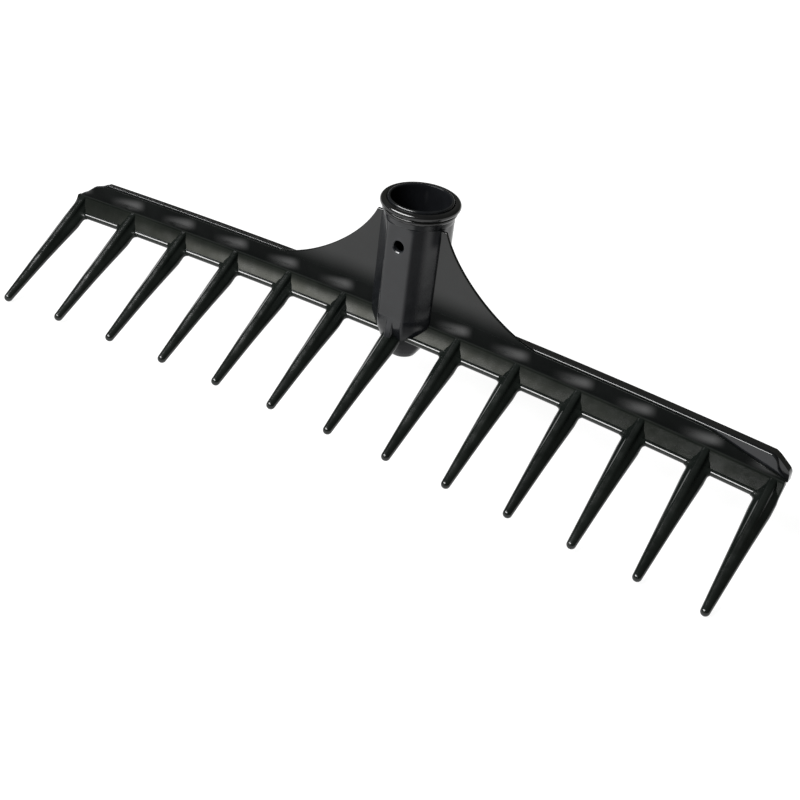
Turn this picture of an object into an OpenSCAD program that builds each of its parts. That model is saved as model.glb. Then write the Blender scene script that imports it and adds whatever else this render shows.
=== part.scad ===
// Level-head garden rake head with thirteen tines and a handle socket.
// Origin: centre of the socket's mouth. +Z: out of the mouth. +X: along the bar. -Y: the tines' side.

/* [Socket] */
// Diameter of the handle's bore
bore_d = 28; // [24:0.5:28]
// Depth of the bore below the mouth
bore_depth = 57; // [48:1:58]
// Distance across the octagon's flats
flats = 32.6; // [31.6:0.2:33]
// Diameter of the screw hole in the front flat
screw_d = 5.5; // [3:0.5:6]
// Depth of the screw hole's centre below the mouth
screw_drop = 19.5; // [14:0.5:24]
// Height of the closed foot below the bore
foot_h = 25; // [20:1:28]
// Distance across the foot's flat bottom
foot_flats = 13; // [8:1:18]

/* [Collar] */
// Outer diameter of the rolled ring
collar_d = 37.8; // [37:0.2:40]
// Height of the rolled ring
collar_h = 3.2; // [2.6:0.2:3.6]
// Outer diameter of the bead under the ring
bead_d = 35.4; // [35:0.2:36.6]
// Height of the bead
bead_h = 2.6; // [2:0.2:3]
// Height of the neck that runs from the bead to the flats
neck_h = 2.6; // [2:0.2:3]

/* [Bar] */
// Distance between neighbouring tines
tine_pitch = 32; // [30:0.5:34]
// Drop from the mouth to the crease between wall and shelf
bar_drop = 60; // [58:1:62]
// Distance from the socket's axis forward to the wall's front face
wall_front = 6.3; // [5.5:0.1:6.5]
// Height of the front wall above the crease
wall_h = 9.4; // [8:0.1:11]
// Thickness of the front wall and the wings
wall_t = 1.4; // [1.2:0.1:1.8]
// Length over which the front wall's top runs down at each end
wall_ramp = 31; // [15:1:35]
// Thickness of the rear web
web_t = 1.6; // [1.2:0.1:2]
// Height that the rear web's ridge stands above the front wall
ridge_step = 0.5; // [0.2:0.1:1]
// Depth of the rim's flange behind the web
rim_depth = 4.2; // [3:0.1:6]
// Thickness of the rim's flange
rim_t = 2; // [1.6:0.1:3]
// Forward reach of the shelf, from the crease to the lip's centre
shelf_reach = 4.2; // [3.5:0.1:5]
// Drop of the shelf, from the crease to the lip's centre
shelf_drop = 8.1; // [7:0.1:9]
// Radius of the shelf's rounded lip
lip_r = 1.6; // [1.4:0.1:1.8]
// Length of the chamfer at the rim's right end
chamfer_right = 9; // [8:0.5:11]
// Length of the chamfer at the rim's left end
chamfer_left = 18; // [17:0.5:21]
// Angle by which the rim rises towards its right end
rim_tilt = 0.25; // [0:0.05:0.4]
// Distance that the bar's ends sag towards the tine tips
bar_sag = 4.9; // [1:0.1:6]

/* [Wings] */
// Height above the crease at which a wing meets the socket
wing_h = 51; // [46:0.5:51]
// Distance from the middle to the point where a wing runs out into the wall
wing_reach = 76; // [66:1:90]

/* [Tines] */
// Angle of the tines below the horizontal
tine_angle = 33; // [28:1:38]
// Length from the crease to the centre of a tine's round tip
tine_len = 67.2; // [50:0.2:75]
// Width of a tine's body near the shelf
tine_root_w = 10.4; // [8:0.2:11]
// Depth of a tine's body near the shelf
tine_root_t = 7.2; // [6:0.2:8]
// Diameter of a tine's round tip
tine_tip_d = 4.4; // [3.5:0.1:5]
// Width of the rib along a tine's top
rib_w = 3.2; // [2.4:0.2:4]

/* [Hidden] */
$fn = 96;

matte_black = "#3a3c40";
gloss_black = "#26282b";
ring_black = "#1c1d20";

middle_tine = 7;
half_span = (middle_tine - 1) * tine_pitch;
bar_end = half_span + 5;               // right-hand end of the front wall, the shelf and the lip
left_end = half_span + 3.4;            // their left-hand end, as a distance from the middle
lip_start = flats / 4;                 // the lip starts inside the foot's slanting flat
cap_end = half_span + 5.4;             // outermost face of the end caps
bar_radius = half_span * half_span / (2 * bar_sag);
far = 120;                             // larger than any section or outline

octagon = 1 / cos(22.5);               // across-corners over across-flats of an octagon
collar_drop = 0.8;                     // the rolled ring starts this far below the mouth
sleeve_r = bore_d / 2 + 1.6;           // inner ring that stands up inside the rolled collar
bead_top = -collar_drop - collar_h;
neck_top = bead_top - bead_h;
tube_top = neck_top - neck_h;

web_back = wall_t + web_t;
rim_top = wall_h - 0.2;
ridge_z = wall_h + ridge_step - web_t / 2;   // centre of the rear web's rounded top
shelf_edge = 0.94 * lip_r;             // the shelf's edge lies this far from the lip's centre
lip_chord = 45;                        // half the angle that the shelf's edge takes up on the lip

// Distance that the bar has sagged at x, along the tines' direction
function sag_at(x) = bar_sag * pow(x / half_span, 2);

// Height of the rim's top at x, above the crease at the middle
function rim_height_at(x) = rim_top - sag_at(x) * sin(tine_angle);

// Point at u on the cubic curve from a to d, with handles b and c
function curve(a, b, c, d, u) =
    pow(1 - u, 3) * a + 3 * pow(1 - u, 2) * u * b + 3 * (1 - u) * u * u * c + pow(u, 3) * d;

// ---- frames ----

// The bar's frame: its origin is the crease at the middle of the wall's front face
module bar_frame() {
    translate([0, -wall_front, -bar_drop]) children();
}

// Sweeps a section, drawn with Y across and Z up, along the bar's arc from x = start to x = end
module swept(start, end) {
    first = asin(start / bar_radius);
    last = asin(end / bar_radius);
    bar_frame()
        rotate([tine_angle, 0, 0])
            rotate([0, 0, 90])
                translate([-bar_radius, 0, 0])
                    rotate([0, 0, -last])
                        rotate_extrude(angle = last - first, $fn = 720)
                            translate([bar_radius, 0]) rotate(-tine_angle) children();
}

// Extrudes an outline, drawn with X across and Z up, through the whole depth of the bar
module through_bar() {
    bar_frame() translate([0, far / 2, 0]) rotate([90, 0, 0]) linear_extrude(far) children();
}

// Turns the rim by its small tilt, about the middle of the crease
module tilted() {
    bar_frame() rotate([0, -rim_tilt, 0]) translate([0, wall_front, bar_drop]) children();
}

// A tine's frame: -Y along the tine, Z square to it, at the crease where the tine starts
module tine_frame(x) {
    bar_frame()
        translate([x, 0, 0])
            rotate([tine_angle, 0, 0])
                translate([0, -sag_at(x), 0]) children();
}

// ---- sections and outlines ----

module wall_section() {
    square([wall_t, wall_h]);
}

module web_section() {
    translate([wall_t, 0]) square([web_t, ridge_z]);
    translate([wall_t + web_t / 2, ridge_z]) circle(d = web_t);
}

// Corner of the shelf's edge, just inside the lip, at an angle from the line back along the tines
function lip_point(angle) =
    [-shelf_reach, -shelf_drop] + shelf_edge * [cos(tine_angle + angle), sin(tine_angle + angle)];

module shelf_section() {
    polygon([[0, 0], lip_point(lip_chord), lip_point(-lip_chord), [web_back, -1.5], [web_back, 0]]);
}

// Rounded bead along the shelf's front edge, flat where it meets the shelf
module lip_section() {
    translate([-shelf_reach, -shelf_drop]) rotate(tine_angle) difference() {
        circle(lip_r);
        translate([shelf_edge * cos(lip_chord), -far / 2]) square([far, far]);
    }
}

module rim_section() {
    translate([web_back, rim_top - rim_t]) square([rim_depth, rim_t]);
}

// Everything that a tine or a gusset may not cut into
module bar_section() {
    wall_section();
    web_section();
    shelf_section();
    translate([-shelf_reach, -shelf_drop]) circle(lip_r);
}

// The front wall's face on the right-hand side: its top runs down towards the end
module wall_outline() {
    ramp = bar_end - wall_ramp;
    polygon([[flats / 2, -far], [bar_end, -far], [bar_end, -1.2], [ramp + wall_ramp / 2, 2.4],
             [ramp, wall_h - 3.6], [ramp, far], [flats / 2, far]]);
}

// Mirrors a run of [distance in from the end, height] points to the left or right end at x = end
function at_end(points, end, side) = [for (p = points) [side * (end - p[0]), p[1]]];
function reversed(points) = [for (i = [len(points) - 1 : -1 : 0]) points[i]];

// Face of the rear web on one side: from the socket to an end that steps or slopes down
module web_outline(points, side) {
    inner = [[side * flats / 2, far], [side * flats / 2, -far]];
    polygon(concat(at_end(points, cap_end - 0.4, side), inner));
}

// The slope by which the web and the front wall run down at the left end
function left_slope() =
    [[0, -far], [0, -4.9], [3.4, -1.8], [6.7, 0.1], [11.5, 4.2], [16.6, 6.1], [19, 7.5], [19, far]];

// Band of the chamfered flange, its outer edge given by points that start at the bottom
module cap_band(points, side) {
    inner = [for (p = points) p + [1.7 * rim_t, -1.2 * rim_t]];
    polygon(concat(at_end(points, cap_end, side), reversed(at_end(inner, cap_end, side))));
}

module cap_outline_right() {
    top = rim_height_at(cap_end - chamfer_right);
    cap_band([[0, -4.5], [0, -0.5], [0.8, 0.9], [chamfer_right - 2.1, top - 1], [chamfer_right, top]], 1);
}

module cap_outline_left() {
    top = rim_height_at(cap_end - chamfer_left);
    cap_band([[0, -6], [2, -3.6], [7, 0.6], [chamfer_left - 3, top - 1.6], [chamfer_left, top]], -1);
}

// Concave web beside the socket, right-hand side, with a short shoulder under the collar
module wing_outline() {
    steps = 14;
    base = flats / 2;
    inner = [base + 2.3, wing_h - 0.8];
    handle_in = [base + 10.7, wing_h * 0.59];
    handle_out = [wing_reach - 20, wall_h + 0.6];
    outer = [wing_reach, wall_h - 0.9];
    edge = [for (i = [0 : steps]) curve(inner, handle_in, handle_out, outer, i / steps)];
    polygon(concat([[base, -5], [base, wing_h - 0.4]], edge, [[wing_reach, -5]]));
}

// ---- socket ----

module bore() {
    translate([0, 0, -bore_depth]) cylinder(d = bore_d, h = bore_depth + 1);
}

// Octagonal prism with flats facing along X and Y, its top at z
module eight_flats(across, z, h) {
    translate([0, 0, z - h]) rotate(22.5) cylinder(d = across * octagon, h = h, $fn = 8);
}

module socket_tube() {
    color(matte_black) difference() {
        union() {
            eight_flats(flats, tube_top, bore_depth + tube_top);
            translate([0, 0, tube_top - 1]) cylinder(r = sleeve_r, h = 1 - tube_top);
        }
        bore();
        translate([0, 0, -screw_drop]) rotate([90, 0, 0]) cylinder(d = screw_d, h = flats);
    }
}

module socket_collar() {
    round_r = collar_h / 2;
    color(ring_black) rotate_extrude() {
        translate([sleeve_r, -collar_drop - collar_h]) square([collar_d / 2 - round_r - sleeve_r, collar_h]);
        translate([collar_d / 2 - round_r, -collar_drop - round_r]) circle(round_r);
    }
}

module collar_bead() {
    round_r = bead_h / 2;
    color(ring_black) rotate_extrude() {
        translate([sleeve_r, neck_top]) square([bead_d / 2 - round_r - sleeve_r, bead_h]);
        translate([bead_d / 2 - round_r, neck_top + round_r]) circle(round_r);
    }
}

module socket_neck() {
    color(matte_black) rotate_extrude()
        polygon([[sleeve_r, tube_top], [flats / 2 + 0.3, tube_top], [flats / 2 + 0.5, neck_top],
                 [sleeve_r, neck_top]]);
}

// Blunt bowl that the octagon narrows into
module foot_solid() {
    hull() {
        eight_flats(flats, -bore_depth, 1);
        eight_flats(flats - 1.5, -bore_depth - foot_h * 0.2, 1);
        eight_flats(flats - 5, -bore_depth - foot_h * 0.45, 1);
        eight_flats(flats - 11, -bore_depth - foot_h * 0.75, 1);
        translate([0, 0, -bore_depth - foot_h]) cylinder(d = foot_flats, h = 1, $fn = 32);
    }
}

module socket_foot() {
    color(matte_black) foot_solid();
}

// Small rib that carries the middle tine's top up to the socket's front flat
module foot_gusset() {
    front = wall_front - flats / 2;
    tip = front - 1.5;
    back = front + 4;
    fall = tan(tine_angle);
    color(matte_black) difference() {
        bar_frame() translate([-rib_w / 2, 0, 0]) rotate([90, 0, 90]) linear_extrude(rib_w)
            polygon([[back, 3], [front, 3], [tip, tip * fall + 0.6], [back, back * fall + 0.6]]);
        eight_flats(flats, tube_top, bore_depth + tube_top);
        foot_solid();
    }
}

// ---- bar ----

module front_wall_right() {
    color(matte_black) intersection() {
        swept(0, bar_end) wall_section();
        through_bar() wall_outline();
    }
}

module front_wall_left() {
    color(matte_black) intersection() {
        swept(-left_end, 0) wall_section();
        through_bar() translate([0, -0.5]) web_outline(left_slope(), -1);
    }
}

module rear_web_right() {
    step = [[0, -far], [0, -2.5], [4.2, 0.9], [5.6, 2.4], [6.4, 5.4], [8.6, 7.2], [8.6, far]];
    color(matte_black) intersection() {
        swept(0, cap_end) web_section();
        through_bar() web_outline(step, 1);
    }
}

module rear_web_left() {
    color(matte_black) intersection() {
        swept(-cap_end, 0) web_section();
        through_bar() web_outline(left_slope(), -1);
    }
}

// One half of the shelf, cut where the foot of the socket stands through it
module tine_shelf(end) {
    difference() {
        swept(0, end) shelf_section();
        eight_flats(flats, -bar_drop + 20, 20 - bar_drop + bore_depth);
        foot_solid();
    }
}

module tine_shelf_right() {
    color(gloss_black) tine_shelf(bar_end);
}

module tine_shelf_left() {
    color(gloss_black) mirror([1, 0, 0]) tine_shelf(left_end);
}

module shelf_lip_right() {
    color(gloss_black) swept(lip_start, bar_end) lip_section();
}

module shelf_lip_left() {
    color(gloss_black) swept(-left_end, -lip_start) lip_section();
}

// Flange behind the web, from x = left to x = right
module top_rim(left, right) {
    tilted() intersection() {
        swept(left < 0 ? -cap_end : 0, left < 0 ? 0 : cap_end) rim_section();
        through_bar() translate([left, -far]) square([right - left, 2 * far]);
    }
}

module top_rim_right() {
    color(ring_black) top_rim(flats / 2, cap_end - chamfer_right);
}

module top_rim_left() {
    color(ring_black) top_rim(chamfer_left - cap_end, -flats / 2);
}

// One end of the rim: the flange turns the chamfered corner and runs down behind the web
module end_cap(start, end) {
    tilted() intersection() {
        swept(start, end) translate([web_back, -far / 4]) square([rim_depth, far / 2]);
        through_bar() children();
    }
}

module end_cap_right() {
    color(ring_black) end_cap(half_span - 30, cap_end + 2) cap_outline_right();
}

module end_cap_left() {
    color(ring_black) end_cap(-cap_end - 2, 30 - half_span) cap_outline_left();
}

module wing() {
    intersection() {
        swept(0, wing_reach + 4) translate([0, wall_h]) square([wall_t, wing_h]);
        through_bar() wing_outline();
    }
}

module wing_right() {
    color(matte_black) wing();
}

module wing_left() {
    color(matte_black) mirror([1, 0, 0]) wing();
}

// ---- tines ----

// Oval slice of a tine's body, at s along it and n above its frame
module tine_slice(s, n, width, depth) {
    translate([0, -s, n]) rotate([90, 0, 0]) linear_extrude(0.5) resize([width, depth]) circle(1, $fn = 24);
}

module tine_body() {
    hull() {
        tine_slice(12, -4.6, tine_root_w, tine_root_t);
        translate([0, -tine_len, 0]) sphere(d = tine_tip_d, $fn = 24);
    }
    hull() {
        tine_slice(4, -5.4, tine_root_w + 0.8, tine_root_t - 1);
        tine_slice(12, -4.6, tine_root_w, tine_root_t);
    }
}

// Rib along the tine's top, from the wall to where it runs out into the body
module tine_rib() {
    rotate([90, 0, -90]) translate([0, 0, -rib_w / 2]) linear_extrude(rib_w)
        polygon([[0.6, -5], [1, -0.2], [2.4, 0.4], [40, 0.9], [44, -1], [20, -4], [10, -5]]);
}

module tine(number) {
    x = (number - middle_tine) * tine_pitch;
    color(gloss_black) difference() {
        tine_frame(x) {
            tine_body();
            tine_rib();
        }
        swept(x - 10, min(x + 10, cap_end)) bar_section();
        if (number == middle_tine) {
            eight_flats(flats, tube_top, bore_depth + tube_top);
            foot_solid();
        }
    }
}

socket_tube();
socket_collar();
collar_bead();
socket_neck();
socket_foot();
foot_gusset();
front_wall_left();
front_wall_right();
rear_web_left();
rear_web_right();
tine_shelf_left();
tine_shelf_right();
shelf_lip_left();
shelf_lip_right();
top_rim_left();
top_rim_right();
end_cap_left();
end_cap_right();
wing_left();
wing_right();
tine(1);  // tine_01
tine(2);  // tine_02
tine(3);  // tine_03
tine(4);  // tine_04
tine(5);  // tine_05
tine(6);  // tine_06
tine(7);  // tine_07
tine(8);  // tine_08
tine(9);  // tine_09
tine(10);  // tine_10
tine(11);  // tine_11
tine(12);  // tine_12
tine(13);  // tine_13
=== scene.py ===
"""Looks for a moulded plastic rake head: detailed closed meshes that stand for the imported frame's nodes."""

import math

import bmesh
import bpy
import numpy as np
from mathutils import Matrix, Vector


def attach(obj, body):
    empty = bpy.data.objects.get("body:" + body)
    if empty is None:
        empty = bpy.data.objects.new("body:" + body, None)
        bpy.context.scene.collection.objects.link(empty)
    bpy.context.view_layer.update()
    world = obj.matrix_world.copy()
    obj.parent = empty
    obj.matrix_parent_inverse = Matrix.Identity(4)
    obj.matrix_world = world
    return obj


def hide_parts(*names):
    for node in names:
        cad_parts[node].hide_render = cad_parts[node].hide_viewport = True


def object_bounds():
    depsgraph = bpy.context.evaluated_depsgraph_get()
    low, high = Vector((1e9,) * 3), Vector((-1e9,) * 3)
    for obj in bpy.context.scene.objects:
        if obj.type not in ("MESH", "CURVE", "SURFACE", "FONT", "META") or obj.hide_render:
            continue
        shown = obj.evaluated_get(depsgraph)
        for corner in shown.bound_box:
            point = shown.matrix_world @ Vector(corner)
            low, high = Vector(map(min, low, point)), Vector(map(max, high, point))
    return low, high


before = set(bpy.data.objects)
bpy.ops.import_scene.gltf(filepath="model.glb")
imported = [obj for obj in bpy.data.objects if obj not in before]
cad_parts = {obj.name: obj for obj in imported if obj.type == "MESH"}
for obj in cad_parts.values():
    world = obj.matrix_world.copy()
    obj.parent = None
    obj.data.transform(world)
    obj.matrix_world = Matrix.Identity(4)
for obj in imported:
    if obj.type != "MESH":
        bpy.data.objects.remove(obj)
cad_box = [list(corner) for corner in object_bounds()]

# ---- sizes in millimetres, as in the CAD source ----

# socket: its axis is the frame's Z, its mouth is at the origin
HALF_FLATS = 16.3
FRONT_CORNER = 3.2  # radius of the octagon's corners in front
BORE_R = 14.0
SLEEVE_R = 15.6  # round sleeve that the mouth's rings sit on
BORE_DEPTH = 57.0
FOOT_DEPTH = 25.0
NECK_TOP, NECK_LOW = -6.6, -9.2
HOLE_R, HOLE_Z = 2.75, -19.5

# bar: an upright wall and a sloping shelf that meet in a crease, bowed along a flat arc
BAR_Y, BAR_Z = -6.3, -60.0  # the crease at the middle
HALF_SPAN = 192.0
SAG = 4.9
BAR_R = HALF_SPAN**2 / (2 * SAG)
TINE_ANGLE = math.radians(33)  # the arc lies in the plane of the tines
COS, SIN = math.cos(TINE_ANGLE), math.sin(TINE_ANGLE)
WALL_H, WALL_T = 9.4, 1.4
WEB_BACK = 3.0  # back of the ridge behind the wall
RIDGE_TOP = 9.9
LIP_Y, LIP_Z, LIP_R = -4.2, -8.1, 1.6
END = {1: 197.0, -1: 195.4}  # end of wall, shelf and lip, right and left
CAP_END = 197.4
CAP_CHAMFER = {1: 9.0, -1: 18.0}
RIM_TOP, RIM_DEPTH, RIM_T, CAP_T = 9.2, 4.19, 2.0, 4.2
RIM_TILT = math.sin(math.radians(0.25))
JOINT_Z = 0.8  # the wall's piece meets the shelf's piece at this height above the crease

# tines
PITCH = 32.0
TINE_COUNT = 13
MIDDLE_TINE = 7
TIP_S, TIP_R = 67.18, 2.19
SWELL, SWELL_X, SWELL_Z = 0.2, -2.5, 5.0  # the swell above each tine: how high, how far aside, how far up


def sag(x):
    return SAG * (x / HALF_SPAN) ** 2


def on_bar(x, y, z):
    """Points of the bar's section (y, z) at distance x along its arc."""
    u = y * COS + z * SIN
    v = -y * SIN + z * COS
    turn = np.arcsin(x / BAR_R)
    along = u - (BAR_R + u) * (1 - np.cos(turn))
    return np.stack(
        [(BAR_R + u) * np.sin(turn), along * COS - v * SIN + BAR_Y, along * SIN + v * COS + BAR_Z], axis=-1
    )


def on_tine(x0, x, s, n):
    """Points at x across, s along and n above a tine that stands at x0."""
    s = s + sag(x0)
    return np.stack([x0 + x, -s * COS - n * SIN + BAR_Y, -s * SIN + n * COS + BAR_Z], axis=-1)


def swell(x, z):
    """How far the wall's face bulges forward above the root of each tine, fading out at the crease."""
    near = x - SWELL_X - PITCH * np.round((x - SWELL_X) / PITCH)
    fade = np.clip((z - 0.2) / 3.0, 0, 1)
    spread = np.exp(-((near / 7.5) ** 2)) * np.exp(-(((z - SWELL_Z) / 3.4) ** 2))
    return SWELL * spread * fade * fade * (3 - 2 * fade)


# ---- mesh helpers ----


def arc(cy, cz, r, a0, a1, steps):
    a = np.radians(np.linspace(a0, a1, steps))
    return np.stack([cy + r * np.cos(a), cz + r * np.sin(a)], axis=-1)


def line(a, b, steps):
    t = np.linspace(0, 1, steps)[:, None]
    return np.array(a) * (1 - t) + np.array(b) * t


def shade(mesh, sharp):
    """Smooth all over, except that faces which meet at more than sharp degrees keep a hard edge."""
    for face in mesh.polygons:
        face.use_smooth = True
    mesh.set_sharp_from_angle(angle=math.radians(sharp))


def make_object(name, verts, faces, material, node, sharp):
    """A closed mesh in metres from points in millimetres, which replaces one CAD node."""
    mesh = bpy.data.meshes.new(name)
    mesh.from_pydata((np.asarray(verts) * 0.001).tolist(), [], faces)
    bm = bmesh.new()
    bm.from_mesh(mesh)
    bmesh.ops.remove_doubles(bm, verts=bm.verts, dist=1e-6)
    bmesh.ops.dissolve_degenerate(bm, edges=bm.edges, dist=1e-7)
    bmesh.ops.recalc_face_normals(bm, faces=bm.faces)
    bm.to_mesh(mesh)
    bm.free()
    shade(mesh, sharp)
    mesh.materials.append(material)
    obj = bpy.data.objects.new(name, mesh)
    bpy.context.scene.collection.objects.link(obj)
    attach(obj, "root")
    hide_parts(node)
    return obj


def loft(name, rings, material, node, sharp=50, wrap=False):
    """Skins a run of closed rings. With wrap the last ring joins the first; otherwise both ends are capped."""
    rings = np.asarray(rings)
    m, k = rings.shape[:2]
    faces = []
    for i in range(m if wrap else m - 1):
        j = (i + 1) % m
        for p in range(k):
            q = (p + 1) % k
            faces.append((i * k + p, i * k + q, j * k + q, j * k + p))
    if not wrap:
        faces.append(tuple(range(k)))
        faces.append(tuple((m - 1) * k + p for p in range(k)))
    return make_object(name, rings.reshape(-1, 3), faces, material, node, sharp)


def revolve(name, profile, material, node, steps=144):
    """Turns a closed (r, z) profile about the socket's axis."""
    r, z = np.concatenate(profile).T
    rings = []
    for a in np.linspace(0, 2 * math.pi, steps, endpoint=False):
        rings.append(np.stack([r * math.cos(a), r * math.sin(a), z], axis=-1))
    return loft(name, rings, material, node, wrap=True)


# ---- materials: lengths in metres, as the texture coordinates are ----


class Nodes:
    """Builds one material's node tree. A value is either a number, set on the socket, or an output to link."""

    def __init__(self, name):
        self.material = bpy.data.materials.new(name)
        self.material.use_nodes = True
        self.tree = self.material.node_tree
        self.tree.nodes.clear()
        self.place = self.add("ShaderNodeTexCoord").outputs["Object"]
        self.shader = self.add("ShaderNodeBsdfPrincipled")
        self.put(self.add("ShaderNodeOutputMaterial"), "Surface", self.shader.outputs["BSDF"])

    def add(self, kind, **settings):
        node = self.tree.nodes.new(kind)
        for key, value in settings.items():
            setattr(node, key, value)
        return node

    def put(self, node, socket, value):
        if isinstance(value, bpy.types.NodeSocket):
            self.tree.links.new(value, node.inputs[socket])
        else:
            node.inputs[socket].default_value = value

    def noise(self, scale, detail):
        node = self.add("ShaderNodeTexNoise")
        self.put(node, "Vector", self.place)
        self.put(node, "Scale", scale)
        self.put(node, "Detail", detail)
        self.put(node, "Roughness", 0.55)
        return node.outputs["Fac"]

    def ramp(self, source, low, high, bottom, top, soft=True):
        """bottom where source is at low or under it, top where it is at high or over it."""
        node = self.add("ShaderNodeMapRange", interpolation_type="SMOOTHSTEP" if soft else "LINEAR")
        self.put(node, "Value", source)
        self.put(node, "From Min", low)
        self.put(node, "From Max", high)
        self.put(node, "To Min", bottom)
        self.put(node, "To Max", top)
        return node.outputs["Result"]

    def math(self, operation, *values):
        node = self.add("ShaderNodeMath", operation=operation)
        for k, value in enumerate(values):
            self.put(node, k, value)
        return node.outputs["Value"]

    def bump(self, height, strength, distance, normal=None):
        node = self.add("ShaderNodeBump")
        self.put(node, "Height", height)
        self.put(node, "Strength", strength)
        self.put(node, "Distance", distance)
        if normal:
            self.put(node, "Normal", normal)
        return node.outputs["Normal"]

    def xyz(self):
        node = self.add("ShaderNodeSeparateXYZ")
        self.put(node, "Vector", self.place)
        return node.outputs["X"], node.outputs["Y"], node.outputs["Z"]

    def bar_height(self):
        """Height that follows the bar's arc, so that it is the same all along the crease."""
        x, _, z = self.xyz()
        drop = SAG * SIN / HALF_SPAN**2 * 1000
        return self.math("MULTIPLY_ADD", self.math("MULTIPLY", x, x), drop, z)


def wall_painted_highlight_and_shade(nodes):
    """A slanting painted highlight above each tine, painted shade on the wall between them where the specular
    level stays low, and even gloss up the wings.
    """
    # specular levels: painted shade on the wall, the painted highlight above each tine, and the wings
    dull, painted_highlight_level, wing_level = 0.04, 0.90, 0.5
    height = nodes.bar_height()
    saw = nodes.add("ShaderNodeTexWave", wave_type="BANDS", bands_direction="X", wave_profile="SAW")
    nodes.put(saw, "Vector", nodes.place)
    nodes.put(saw, "Scale", 2 * math.pi / (20 * PITCH * 0.001))
    nodes.put(saw, "Phase Offset", 2 * math.pi * (1 - 8.0 / PITCH))
    nodes.put(saw, "Distortion", 0.9)
    nodes.put(saw, "Detail", 1.0)
    nodes.put(saw, "Detail Scale", 1.5)
    along = saw.outputs["Fac"]  # from 0 to 1 over one pitch, which ends 8 mm right of a tine
    peak = nodes.ramp(along, 0.25, 0.80, dull, nodes.ramp(along, 0.78, 0.99, painted_highlight_level, dull))
    centre = nodes.ramp(along, 0.25, 1.0, -0.0578, -0.0538, soft=False)
    away = nodes.math("ABSOLUTE", nodes.math("SUBTRACT", height, centre))
    return nodes.ramp(height, -0.0515, -0.0380, nodes.ramp(away, 0.0, 0.0040, peak, dull), wing_level)


def shelf_painted_highlight_and_shade(nodes):
    """A painted highlight left of the socket towards the lip, where the specular level is highest, and painted
    shade in the crease and towards both ends, where it is low.
    """
    x, _, _ = nodes.xyz()
    along_lip = nodes.ramp(x, -0.185, -0.075, 0.16, nodes.ramp(x, -0.04, 0.12, 1.0, 0.16))
    return nodes.ramp(nodes.bar_height(), -0.0655, -0.0610, along_lip, 0.10)


def tine_gloss(nodes):
    """Duller than the bar, most of all near the root."""
    _, _, z = nodes.xyz()
    return nodes.ramp(z, -0.1000, -0.0600, 0.40, 0.26)


def socket_painted_highlight_and_shade(nodes):
    """Painted highlights through a high specular level on the front flat and the foot's left bevel, and painted
    shade through a low one beside them, under the ring and in the bore.
    """
    x, y, z = nodes.xyz()
    right_flat = nodes.ramp(x, 0.0098, 0.0130, 0.10, 0.40)
    front = nodes.ramp(x, -0.0088, -0.0066, 0.12, nodes.ramp(x, 0.0055, 0.0075, 0.5, right_flat))
    bevel = nodes.ramp(x, -0.0060, -0.0020, 0.9, 0.12)
    front = nodes.ramp(z, -0.0665, -0.0610, bevel, front)
    front = nodes.ramp(z, -0.0200, -0.0150, front, nodes.ramp(x, 0.0120, 0.0145, front, 0.08))
    outside = nodes.ramp(y, -0.0060, -0.0010, front, 0.4)
    radius_squared = nodes.math("MULTIPLY_ADD", x, x, nodes.math("MULTIPLY", y, y))
    return nodes.ramp(radius_squared, 0.000202, 0.000212, 0.06, outside)


def plastic(name, dark, light, rough, rough_spread, grain, wave, wear, gloss_map=None):
    """Moulded plastic: mottled colour, uneven gloss, fine grain and flow waves as bump, paler worn edges.

    gloss_map says how the specular level changes from place to place, which paints highlights and shade;
    without one it stays at 0.5.
    """
    nodes = Nodes(name)
    nodes.put(nodes.shader, "IOR", 1.5)

    mottle = nodes.add("ShaderNodeValToRGB")
    nodes.put(mottle, "Fac", nodes.noise(70.0, 4.0))
    for stop, position, colour in zip(mottle.color_ramp.elements, (0.35, 0.68), (dark, light)):
        stop.position = position
        stop.color = (*colour, 1)
    pointiness = nodes.add("ShaderNodeNewGeometry").outputs["Pointiness"]
    edges = nodes.add("ShaderNodeMix", data_type="RGBA")
    nodes.put(edges, "Factor", nodes.ramp(pointiness, 0.52, 0.62, 0.0, wear, soft=False))
    nodes.put(edges, "A", mottle.outputs["Color"])
    nodes.put(edges, "B", (light[0] * 3, light[1] * 3, light[2] * 3, 1))
    nodes.put(nodes.shader, "Base Color", edges.outputs["Result"])

    patches = nodes.noise(160.0, 3.0)
    uneven = nodes.ramp(patches, 0.3, 0.7, rough - rough_spread, rough + rough_spread, soft=False)
    nodes.put(nodes.shader, "Roughness", uneven)
    grained = nodes.bump(nodes.noise(2600.0, 2.0), grain, 0.0001)
    nodes.put(nodes.shader, "Normal", nodes.bump(nodes.noise(90.0, 2.0), wave, 0.001, grained))
    if gloss_map:
        nodes.put(nodes.shader, "Specular IOR Level", gloss_map(nodes))
    return nodes.material


matte = plastic(
    "matte_black", (0.0045, 0.0048, 0.0056), (0.0075, 0.0082, 0.0096), 0.16, 0.05, 0.05, 0.10, 0.20
)
# walls and wings: a base colour darker than the other blacks, and a gloss map that paints shade on the wall and
# highlights above the tines
wall_black = plastic(
    "black_walls_painted_highlight_and_shade", (0.0016, 0.0020, 0.0019), (0.0030, 0.0036, 0.0034),
    0.20, 0.05, 0.05, 0.10, 0.20, wall_painted_highlight_and_shade,
)
# the socket: its gloss map paints highlights on the front flat and the foot's bevel, and shade beside them,
# under the ring and in the bore
socket_black = plastic(
    "black_socket_painted_highlight_and_shade", (0.0040, 0.0043, 0.0050), (0.0068, 0.0074, 0.0086),
    0.18, 0.05, 0.05, 0.10, 0.20, socket_painted_highlight_and_shade,
)
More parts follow.
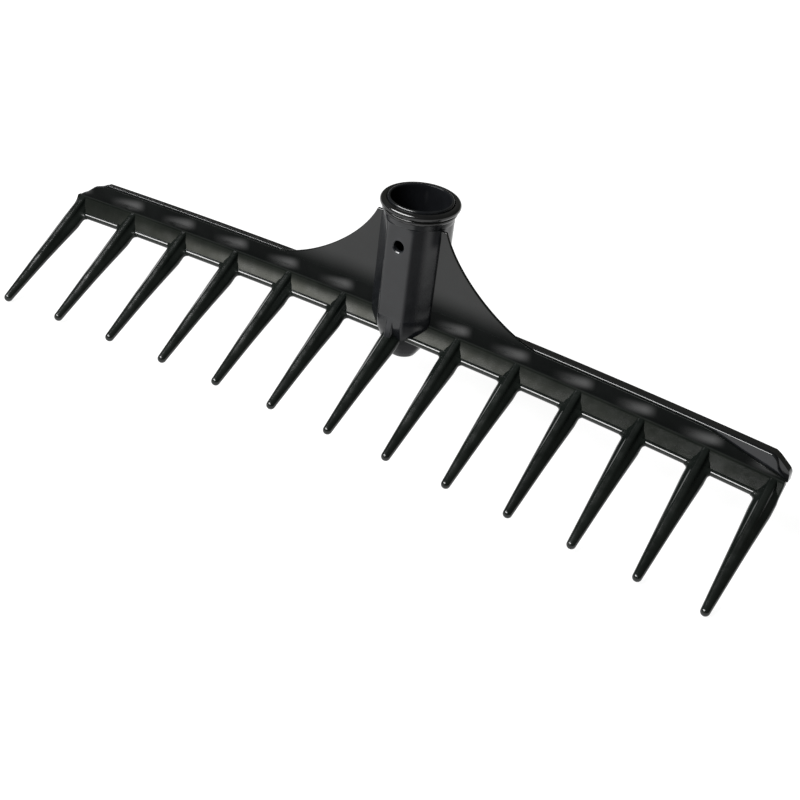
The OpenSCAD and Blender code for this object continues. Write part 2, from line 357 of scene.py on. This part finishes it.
# the shelf: its gloss map paints a highlight left of the socket towards the lip, and shade in the crease and
# towards both ends
shelf_black = plastic(
    "black_shelf_painted_highlight_and_shade", (0.0028, 0.0037, 0.0031), (0.0055, 0.0068, 0.0056),
    0.20, 0.05, 0.05, 0.12, 0.15, shelf_painted_highlight_and_shade,
)
satin = plastic(
    "satin_black", (0.0030, 0.0030, 0.0034), (0.0055, 0.0056, 0.0060), 0.16, 0.03, 0.03, 0.05, 0.15
)
gloss = plastic(
    "gloss_black", (0.0028, 0.0037, 0.0033), (0.0055, 0.0068, 0.0062), 0.16, 0.04, 0.04, 0.10, 0.15
)
tine_black = plastic(
    "dull_black_tines", (0.0022, 0.0031, 0.0027), (0.0048, 0.0062, 0.0054),
    0.21, 0.06, 0.05, 0.14, 0.15, tine_gloss,
)


# ---- bar: x is a distance from the middle, and side is 1 for the right half and -1 for the left ----


def wall_top(x, side):
    """Height of the front wall's top above the crease: level, then down the long ramp or behind the web."""
    if side < 0:
        return np.minimum(WALL_H, web_top_left(x) - 0.5)
    return np.interp(x, [155, 160, 164.5, 175.5, 186.3, 197], [WALL_H, 8.9, 7.9, 5.5, 3.6, 1.5])


def wing_curve(u):
    """The wing's concave edge, a Bezier curve from the socket down to the bar."""
    a, b, c, d = np.array([18.6, 50.2]), np.array([27.0, 30.1]), np.array([56.0, 10.0]), np.array([76.0, 8.5])
    u = u[:, None]
    return (1 - u) ** 3 * a + 3 * (1 - u) ** 2 * u * b + 3 * (1 - u) * u**2 * c + u**3 * d


wing_x, wing_z = wing_curve(np.linspace(0, 1, 60)).T


def wing_top(x):
    return np.interp(x, wing_x, wing_z, left=50.4, right=0.0) + sag(x) * SIN


def upright(low, top, r, steps):
    """Section of the wall from the height low to its top, which is rounded by r in front."""
    front = line((0, low), (0, top - r), steps)
    edge = arc(r, top - r, r, 180, 90, 6)[1:]
    back_edge = arc(WALL_T - r * 0.5, top - r * 0.5, r * 0.5, 90, 0, 4)
    return np.concatenate([front, edge, back_edge, [(WALL_T, low)]])


def swollen(x, section, in_front):
    """The section at x, which has its sign here, with its front points moved forward by the swell."""
    y = section[:, 0] - np.where(in_front, swell(x, section[:, 1]), 0)
    return on_bar(x, y, section[:, 1])


def front_wall(side):
    edge_r = 0.55 if side > 0 else 0.25
    rings = []
    for x in np.concatenate([np.arange(14.0, 150.0, 1.0), np.arange(150.0, END[side], 0.5)]):
        top = float(wall_top(x, side))
        if top < JOINT_Z + 0.5:
            break
        r = 0.05 if wing_top(x) > WALL_H else min(edge_r, (top - JOINT_Z) * 0.6)
        section = upright(JOINT_Z, top, r, 14)
        rings.append(swollen(side * x, section, section[:, 0] < WALL_T * 0.6))
    return rings


def wing(side):
    rings = []
    for x in np.concatenate([[14.0], np.linspace(16.0, 30.0, 57), np.linspace(30.5, 76.0, 70)]):
        top = float(wing_top(x))
        if top < WALL_H + 0.08:
            break
        section = upright(WALL_H, top, min(0.55, (top - WALL_H) * 0.5), 22)
        rings.append(swollen(side * x, section, section[:, 0] < WALL_T * 0.6))
    return rings


def web_top_right(x):
    """The ridge runs level nearly to the end, then steps down."""
    step = np.interp(CAP_END - 0.4 - x, [0, 4.2, 5.6, 6.4, 8.6, 12], [-2.5, 0.9, 2.4, 5.4, 7.2, 12])
    return np.minimum(RIDGE_TOP, step + sag(x) * SIN)


def web_top_left(x):
    """The ridge slopes down along the double chamfer."""
    from_end = [0, 3.4, 6.7, 11.5, 16.6, 19, 22]
    slope = np.interp(CAP_END - 0.4 - x, from_end, [-4.9, -1.8, 0.1, 4.2, 6.1, 7.5, 12])
    return np.minimum(RIDGE_TOP, slope + sag(x) * SIN)


def rear_web(side):
    top_at = web_top_right if side > 0 else web_top_left
    r = 0.8 if side > 0 else 0.3
    softened = np.linspace(-0.7, 0.7, 9)  # the outline is averaged over this stretch, to round its corners
    rings = []
    for x in np.concatenate([np.arange(14.0, 170.0, 2.0), np.arange(170.0, 196.9, 0.25)]):
        top = float(np.mean(top_at(x + softened)))
        low = min(0.0, top - 1.2) if top < 1.2 else 0.0
        front_crest = arc(WALL_T + r, top - r, r, 180, 90, 8)
        back_crest = arc(WEB_BACK - r, top - r, r, 90, 0, 8)
        if side > 0:  # here the two arcs share their middle point
            back_crest = back_crest[1:]
        section = np.concatenate([[(WALL_T, low)], front_crest, back_crest, [(WEB_BACK, low)]])
        rings.append(on_bar(side * x, section[:, 0], section[:, 1]))
    return rings


def shelf(side):
    """The sloping shelf, with a small bend at the crease and a rounded end."""
    end = END[side]
    lip_top = arc(LIP_Y, LIP_Z, LIP_R, 78, 78, 1)[0]
    lip_low = arc(LIP_Y, LIP_Z, LIP_R, -12, -12, 1)[0]
    bend_end = lip_top / np.linalg.norm(lip_top) * 0.9
    t = np.linspace(0, 1, 12)[:, None]
    bend = (1 - t) ** 2 * np.array([0, JOINT_Z]) + t**2 * bend_end
    face = line(bend_end, lip_top, 14)[1:]
    under = line(lip_low, (WEB_BACK, -1.8), 6)
    back = [(WEB_BACK, -0.9), (WEB_BACK - 0.25, -0.25), (WALL_T, 0.0), (WALL_T, JOINT_Z)]
    base = np.concatenate([bend, face, under, back])
    in_front = np.arange(len(base)) < len(bend) + len(face) - 3
    centre = np.array([-1.2, -4.0])
    xs = np.concatenate([np.arange(3.0, 180.0, 1.0), np.arange(180.0, end - 1.0, 0.5)])
    stops = [(x, 1.0) for x in xs]
    for a in np.linspace(0.15, math.pi / 2, 7):
        stops.append((end - 1.0 + math.sin(a), 1 - 0.1 * (1 - math.cos(a))))
    rings = []
    for x, size in stops:
        section = centre + (base - centre) * size
        section[:, 1] = np.minimum(section[:, 1], max(float(wall_top(x, side)), 0.0))
        rings.append(swollen(side * x, section, in_front))
    return rings


def lip(side):
    """Round bead along the shelf's front edge, closed by a quarter round."""
    start = END[side] - LIP_R
    stops = [(x, LIP_R) for x in np.concatenate([np.arange(7.0, start, 1.0), [start]])]
    for a in np.linspace(0.2, math.pi / 2, 9):
        stops.append((start + LIP_R * math.sin(a), LIP_R * max(math.cos(a), 0.08)))
    rings = []
    for x, r in stops:
        section = arc(LIP_Y, LIP_Z, r, 0, 360, 29)[:-1]
        rings.append(on_bar(side * x, section[:, 0], section[:, 1]))
    return rings


def rim_path(side):
    """The rim's outer edge as (x, z): its level run, and its turn round the chamfered corner."""
    chamfer = CAP_CHAMFER[side]
    corner = CAP_END - chamfer
    xs = np.arange(14.0, corner, 2.0)
    flat = np.stack([xs, RIM_TOP - sag(xs) * SIN], axis=-1)
    top = RIM_TOP - sag(corner) * SIN
    if side > 0:
        turn = [(chamfer, top), (chamfer - 2.1, top - 1), (0.8, 0.9), (0, -0.5), (0, -4.5)]
    else:
        turn = [(chamfer, top), (chamfer - 3, top - 1.6), (7, 0.6), (2, -3.6), (0, -6.0)]
    turn = np.array([(CAP_END - a, z) for a, z in turn])
    dense = []
    for a, b in zip(turn[:-1], turn[1:]):
        steps = max(2, int(np.linalg.norm(b - a) / 0.5))
        dense.append(line(a, b, steps)[:-1])
    dense = np.concatenate([*dense, turn[-1:]])
    for _ in range(3):  # rounds the corners
        dense[1:-1] = (dense[:-2] + 2 * dense[1:-1] + dense[2:]) / 4
    return flat, dense


def rim(path, side, thick):
    """The flange: a strip behind the ridge, with its thickness on the inside of the path."""
    run = np.gradient(path, axis=0)
    run /= np.linalg.norm(run, axis=1)[:, None]
    inward = np.stack([run[:, 1], -run[:, 0]], axis=-1)
    r = 0.6
    front, back = WEB_BACK - 0.2, WEB_BACK + RIM_DEPTH
    outer_edge = arc(back - r, r, r, -90, 0, 6)
    inner_edge = arc(back - r, thick - r, r, 0, 90, 6)
    y, depth = np.concatenate([[(front, 0.0)], outer_edge, inner_edge, [(front, thick)]]).T
    rings = []
    for (x, z), n in zip(path, inward):
        px = side * (x + n[0] * depth)
        pz = z + n[1] * depth + px * RIM_TILT
        rings.append(np.stack([px, y - sag(x) * COS + BAR_Y, pz + BAR_Z], axis=-1))
    return rings


for side, word in ((1, "right"), (-1, "left")):
    loft(f"wall_{word}_face", front_wall(side), wall_black, f"front_wall_{word}")
    loft(f"wing_{word}_face", wing(side), wall_black, f"wing_{word}")
    loft(f"web_{word}_ridge", rear_web(side), matte, f"rear_web_{word}")
    loft(f"shelf_{word}_face", shelf(side), shelf_black, f"tine_shelf_{word}")
    loft(f"lip_{word}_bead", lip(side), gloss, f"shelf_lip_{word}")
    flat, turn = rim_path(side)
    flange = rim(np.concatenate([flat, turn[:2]]), side, RIM_T)
    loft(f"rim_{word}_flange", flange, satin, f"top_rim_{word}")
    loft(f"cap_{word}_band", rim(turn[1:], side, CAP_T), satin, f"end_cap_{word}")


# ---- tines ----

# how a tine's section changes with s, the distance from the crease
TINE_S = [-2, 4, 9, 15, 30, 50, 58, 67.2]
TINE_HALF_W = [4.0, 4.7, 5.15, 5.15, 4.2, 3.1, 2.7, 2.2]
TINE_HALF_D = [1.3, 2.4, 3.35, 3.65, 3.0, 2.45, 2.3, 2.2]


def softmin(a, b, k):
    h = np.clip(0.5 + 0.5 * (b - a) / k, 0, 1)
    return b * (1 - h) + a * h - k * h * (1 - h)


def tine_field(x, n, w, d, centre, rib_top, s):
    """Under 0 inside the tine: an oval body, blended with a rib on top that ends before the tip."""
    body = (np.hypot(x / w, n / d) - 1) * np.minimum(w, d)
    height = rib_top - (n + centre)
    flank = (np.abs(x) - 0.75 - 0.34 * np.clip(height, 0, 4.5)) * 0.947
    crown = 0.8 - height
    outside = np.hypot(np.maximum(flank, 0), np.maximum(crown, 0))
    rib = outside + np.minimum(np.maximum(flank, crown), 0) - 0.8
    rib = np.where((n < -0.5) | (s > 52), 9.0, rib)
    return softmin(body, rib, 0.9)


def fillet_width(s, x, n, number):
    """Extra half-width where a tine flows into the lip, none on the outer flank of the end tines."""
    reach = 1.8
    lip_s = -LIP_Y * COS - LIP_Z * SIN
    lip_n = LIP_Y * -SIN + LIP_Z * COS
    gap = np.hypot(s - lip_s, n - lip_n) - LIP_R
    d = np.clip(np.where(s < lip_s - 0.5, reach, gap), 0.0, reach)
    width = reach - np.sqrt(np.maximum(reach**2 - (reach - d) ** 2, 0))
    width = width * np.clip(np.abs(x) / 1.4, 0, 1) ** 2
    bare = s > 20
    if number == MIDDLE_TINE:
        bare = True
    if number == 1:
        bare = bare | (x < 0)
    if number == TINE_COUNT:
        bare = bare | (x > 0)
    return np.where(bare, 0, width)


def tine(number):
    """Rings across a tine. Each point is found by halving, along its direction from the section's centre."""
    tip = TIP_S + TIP_R * np.sin(np.linspace(0.0, 0.995, 12) * math.pi / 2)
    root, shoulder, shaft = np.linspace(-1.4, 6.0, 26), np.linspace(6.25, 14.0, 42), np.linspace(14.8, 66.5, 46)
    s = np.concatenate([root, shoulder, shaft, tip])
    if number == MIDDLE_TINE:
        s = s[s > 5.0]
    rounding = np.sqrt(np.clip(1 - ((s - TIP_S) / TIP_R) ** 2, 0, 1))
    rounding = np.where(s > TIP_S, np.maximum(rounding, 0.02), 1.0)
    w = (np.interp(s, TINE_S, TINE_HALF_W) * rounding)[:, None]
    d = (np.interp(s, TINE_S, TINE_HALF_D) * rounding)[:, None]
    centre = np.interp(s, [-2, 4, 9, 15, 40, 67.2], [-1.6, -3.9, -4.6, -4.5, -2.0, 0.0])[:, None]
    rib_top = np.interp(s, [-2, 0, 2.4, 40, 52], [0.0, 0.1, 0.4, 0.85, 0.3])[:, None]
    s = s[:, None]
    steps = 64
    angle = np.linspace(0, 2 * math.pi, steps, endpoint=False)[None, :] + math.pi / 2
    low, high = np.zeros((len(s), steps)), np.full((len(s), steps), 14.0)
    for _ in range(34):
        r = (low + high) / 2
        inside = tine_field(r * np.cos(angle), r * np.sin(angle), w, d, centre, rib_top, s) < 0
        low, high = np.where(inside, r, low), np.where(inside, high, r)
    r = (low + high) / 2
    x, n = r * np.cos(angle), r * np.sin(angle) + centre
    x = x + np.sign(x) * fillet_width(s, x, n, number)
    return on_tine((number - MIDDLE_TINE) * PITCH, x, np.broadcast_to(s, x.shape), n)


for number in range(1, TINE_COUNT + 1):
    loft(f"tine_{number:02d}_moulding", tine(number), tine_black, f"tine_{number:02d}", sharp=60)


# ---- socket ----


def octagon(a, front_corner, z):
    """A rounded octagon, a from its axis to its flats; the corners at the back are much rounder."""
    bends = []
    for k in range(8):
        middle = math.radians(22.5 + 45 * k)
        corner = max(front_corner, 0.7 * a) if k < 4 else front_corner
        reach = (a - corner) / math.cos(math.radians(22.5))
        turn = middle + np.radians(np.linspace(-22.5, 22.5, 8))
        x = reach * math.cos(middle) + corner * np.cos(turn)
        y = reach * math.sin(middle) + corner * np.sin(turn)
        bends.append(np.stack([x, y], axis=-1))
    ring = []
    for k in range(8):
        ring.append(bends[k])
        ring.append(line(bends[k][-1], bends[(k + 1) % 8][0], 7)[1:-1])
    ring = np.concatenate(ring)
    return np.column_stack([ring, np.full(len(ring), z)])


# the round rings have their points at the same angles as an octagon's, so that the two can be joined
base_x, base_y, _ = octagon(HALF_FLATS, 5.0, 0).T
RING_ANGLES = np.arctan2(base_y, base_x)


def circle(r, z):
    return np.stack([r * np.cos(RING_ANGLES), r * np.sin(RING_ANGLES), np.full(len(RING_ANGLES), z)], axis=-1)


def socket_tube():
    """Up the outside from the foot, over the mouth's rounded edge, and down the bore."""
    rings = [octagon(HALF_FLATS, FRONT_CORNER, z) for z in (-BORE_DEPTH, 1 - BORE_DEPTH)]
    rings += [octagon(HALF_FLATS, FRONT_CORNER, z) for z in np.arange(-54.0, -14.9, 3.0)]
    for z, corner in ((-13.5, 3.4), (-12.5, 3.8), (-11.5, 4.6), (-10.4, 6.2), (NECK_LOW, 9.0)):
        rings.append(octagon(HALF_FLATS, corner, z))
    rings += [circle(SLEEVE_R, z) for z in (NECK_LOW, -8.6, -1.2)]
    edge_r = 0.78
    for a in np.linspace(0, math.pi, 11):
        rings.append(circle(SLEEVE_R - edge_r + edge_r * math.cos(a), -edge_r - 0.01 + edge_r * math.sin(a)))
    rings += [circle(BORE_R, z) for z in (-1.0, -2.0, -20.0, -40.0, -BORE_DEPTH)]
    return rings


def cutter(name, inner_r, outer_r, depth, y):
    """A cone along the screw hole, centred at y, with outer_r at its front end."""
    bm = bmesh.new()
    place = Matrix.Translation((0, y * 0.001, HOLE_Z * 0.001)) @ Matrix.Rotation(math.radians(90), 4, "X")
    radii = {"radius1": inner_r * 0.001, "radius2": outer_r * 0.001}
    bmesh.ops.create_cone(bm, cap_ends=True, segments=64, depth=depth * 0.001, matrix=place, **radii)
    mesh = bpy.data.meshes.new(name)
    bm.to_mesh(mesh)
    bm.free()
    obj = bpy.data.objects.new(name, mesh)
    bpy.context.scene.collection.objects.link(obj)
    return obj


def cut_screw_hole(obj):
    """Drills the screw hole, with a small countersunk edge, through the front flat."""
    drill = cutter("screw_cutter", HOLE_R, HOLE_R, 9.0, -14.5)
    countersink = cutter("sink_cutter", 2.2, 3.4, 1.2, -15.9)
    for tool in (drill, countersink):
        cut = obj.modifiers.new("cut", "BOOLEAN")
        cut.operation = "DIFFERENCE"
        cut.solver = "EXACT"
        cut.object = tool
    graph = bpy.context.evaluated_depsgraph_get()
    result = bpy.data.meshes.new_from_object(obj.evaluated_get(graph), depsgraph=graph)
    obj.modifiers.clear()
    obj.data = result
    shade(result, 30)
    for tool in (drill, countersink):
        bpy.data.objects.remove(tool)


tube = loft("socket_octagon", socket_tube(), socket_black, "socket_tube", wrap=True)
cut_screw_hole(tube)

# the rings and the neck, as (r, z) profiles that reach a little into the sleeve
CORE_R = SLEEVE_R - 0.2
RING_LOW = -4.0
ring_profile = [
    [(CORE_R, RING_LOW), (16.6, RING_LOW)],
    arc(17.24, -2.4, 1.64, -88, 90, 20),
    [(16.3, -0.78), (15.95, -0.95), (15.75, -1.3), (CORE_R, -1.4)],
]
bead_profile = [
    [(CORE_R, NECK_TOP), (16.0, NECK_TOP)],
    arc(16.4, -5.3, 1.3, -88, 88, 16),
    [(16.0, RING_LOW), (CORE_R, RING_LOW)],
]
neck_profile = [
    [(CORE_R, NECK_LOW), (16.55, NECK_LOW)],
    [(16.68, -8.9), (16.76, -8.2), (16.8, -7.4)],
    [(16.8, NECK_TOP), (CORE_R, NECK_TOP)],
]
revolve("collar_ring", ring_profile, satin, "socket_collar")
revolve("collar_under_bead", bead_profile, satin, "collar_bead")
revolve("collar_neck", neck_profile, socket_black, "socket_neck")


def foot():
    """The closed bottom: a bowl that narrows from the octagon."""
    drop = np.concatenate([[0.0, 2.0, 4.0], np.linspace(5.5, FOOT_DEPTH, 24)])
    depth = drop / FOOT_DEPTH
    narrowing = [16.3, 15.9, 15.0, 13.7, 12.2, 10.4, 8.6, 6.6]
    half = np.interp(depth, [0, 0.2, 0.33, 0.45, 0.6, 0.75, 0.88, 1.0], narrowing)
    corner = np.interp(depth, [0, 0.3, 0.7, 1.0], [FRONT_CORNER, FRONT_CORNER, 4.5, 6.0])
    rings = [octagon(a, c, -BORE_DEPTH - dz) for a, c, dz in zip(half, corner, drop)]
    for a, c in ((5.4, 5.0), (3.0, 2.8)):
        rings.append(octagon(a, c, -BORE_DEPTH - FOOT_DEPTH))
    return rings


def gusset():
    """The rib between the middle tine and the socket, with its edges eased."""
    outline = np.array([(-4.5, 3.4), (-9.7, 3.4), (-10.3, -0.4), (-11.4, -6.6), (-11.2, -8.0), (-4.5, -6.0)])
    eased = np.array([[0, 0], [1, 0], [1, 0], [1, 0], [1, 1], [0, 0]])
    rings = []
    for x, inset in ((-1.6, 0.35), (-1.35, 0.1), (-1.0, 0.0), (1.0, 0.0), (1.35, 0.1), (1.6, 0.35)):
        y, z = (outline + eased * inset).T
        rings.append(np.stack([np.full(len(y), x), y + BAR_Y, z + BAR_Z], axis=-1))
    return rings


loft("foot_bowl", foot(), socket_black, "socket_foot", sharp=60)
loft("foot_rib", gusset(), socket_black, "foot_gusset")


# ---- studio, in metres ----


def make_floor():
    """Pale table top that also glows, so that no hard shadow shows on it, and that dims towards the front."""
    nodes = Nodes("floor_white")
    _, y, _ = nodes.xyz()
    nodes.put(nodes.shader, "Base Color", (0.15, 0.15, 0.15, 1))
    nodes.put(nodes.shader, "Roughness", 0.9)
    nodes.put(nodes.shader, "Specular IOR Level", 0.0)
    nodes.put(nodes.shader, "Emission Color", (1, 1, 1, 1))
    nodes.put(nodes.shader, "Emission Strength", nodes.ramp(y, -0.75, -0.33, 0.22, 0.95, soft=False))
    half, z = 6.0, cad_box[0][2] - 0.0005
    mesh = bpy.data.meshes.new("floor")
    corners = [(-half, -half, z), (half, -half, z), (half, half, z), (-half, half, z)]
    mesh.from_pydata(corners, [], [(0, 1, 2, 3)])
    mesh.materials.append(nodes.material)
    floor = bpy.data.objects.new("floor", mesh)
    bpy.context.scene.collection.objects.link(floor)


def make_sky():
    """A dim, slightly yellow room with one soft bright patch in front, which lights the shelf."""
    world = bpy.data.worlds.new("studio")
    bpy.context.scene.world = world
    world.use_nodes = True
    tree = world.node_tree
    direction = tree.nodes.new("ShaderNodeTexCoord").outputs["Generated"]
    patch = tree.nodes.new("ShaderNodeVectorMath")
    patch.operation = "DOT_PRODUCT"
    patch.inputs[1].default_value = (-0.40, -0.83, 0.39)
    fade = tree.nodes.new("ShaderNodeMapRange")
    fade.inputs["From Min"].default_value = 0.965
    fade.inputs["From Max"].default_value = 1.0
    fade.inputs["To Min"].default_value = 0.10
    fade.inputs["To Max"].default_value = 1.4
    background = tree.nodes["Background"]
    background.inputs["Color"].default_value = (1.0, 1.0, 0.86, 1)
    tree.links.new(direction, patch.inputs[0])
    tree.links.new(patch.outputs["Value"], fade.inputs["Value"])
    tree.links.new(fade.outputs["Result"], background.inputs["Strength"])


def softbox(name, place, target, width, height, power):
    data = bpy.data.lights.new(name, "AREA")
    data.shape = "RECTANGLE"
    data.size, data.size_y = width, height
    data.energy = power
    light = bpy.data.objects.new(name, data)
    bpy.context.scene.collection.objects.link(light)
    light.location = place
    light.rotation_mode = "QUATERNION"
    light.rotation_quaternion = (Vector(target) - Vector(place)).to_track_quat("-Z", "Y")


def place_camera():
    """The photo's view: from the front, right and above, rolled so that the bar runs down to the right."""
    azimuth, elevation, roll = math.radians(27.96), math.radians(32.70), math.radians(7.27)
    target, distance = Vector((0.003737, -0.002721, -0.108173)), 0.80529
    data = bpy.data.cameras.new("camera")
    data.sensor_width = 36.0
    data.lens = 73.864
    data.clip_start, data.clip_end = 0.01, 50.0
    camera = bpy.data.objects.new("camera", data)
    bpy.context.scene.collection.objects.link(camera)
    bpy.context.scene.camera = camera
    side, front = math.sin(azimuth) * math.cos(elevation), math.cos(azimuth) * math.cos(elevation)
    back = Vector((side, -front, math.sin(elevation)))
    level = Vector((math.cos(azimuth), math.sin(azimuth), 0))
    up = back.cross(level)
    right = math.cos(roll) * level + math.sin(roll) * up
    top = -math.sin(roll) * level + math.cos(roll) * up
    pose = Matrix((right, top, back)).transposed().to_4x4()
    pose.translation = target + back * distance
    camera.matrix_world = pose


make_floor()
make_sky()
softbox("key_box", (-0.45, -0.76, 0.86), (0, 0, -0.06), 1.2, 0.5, 42.0)
place_camera()
bpy.context.scene.view_settings.view_transform = "Standard"
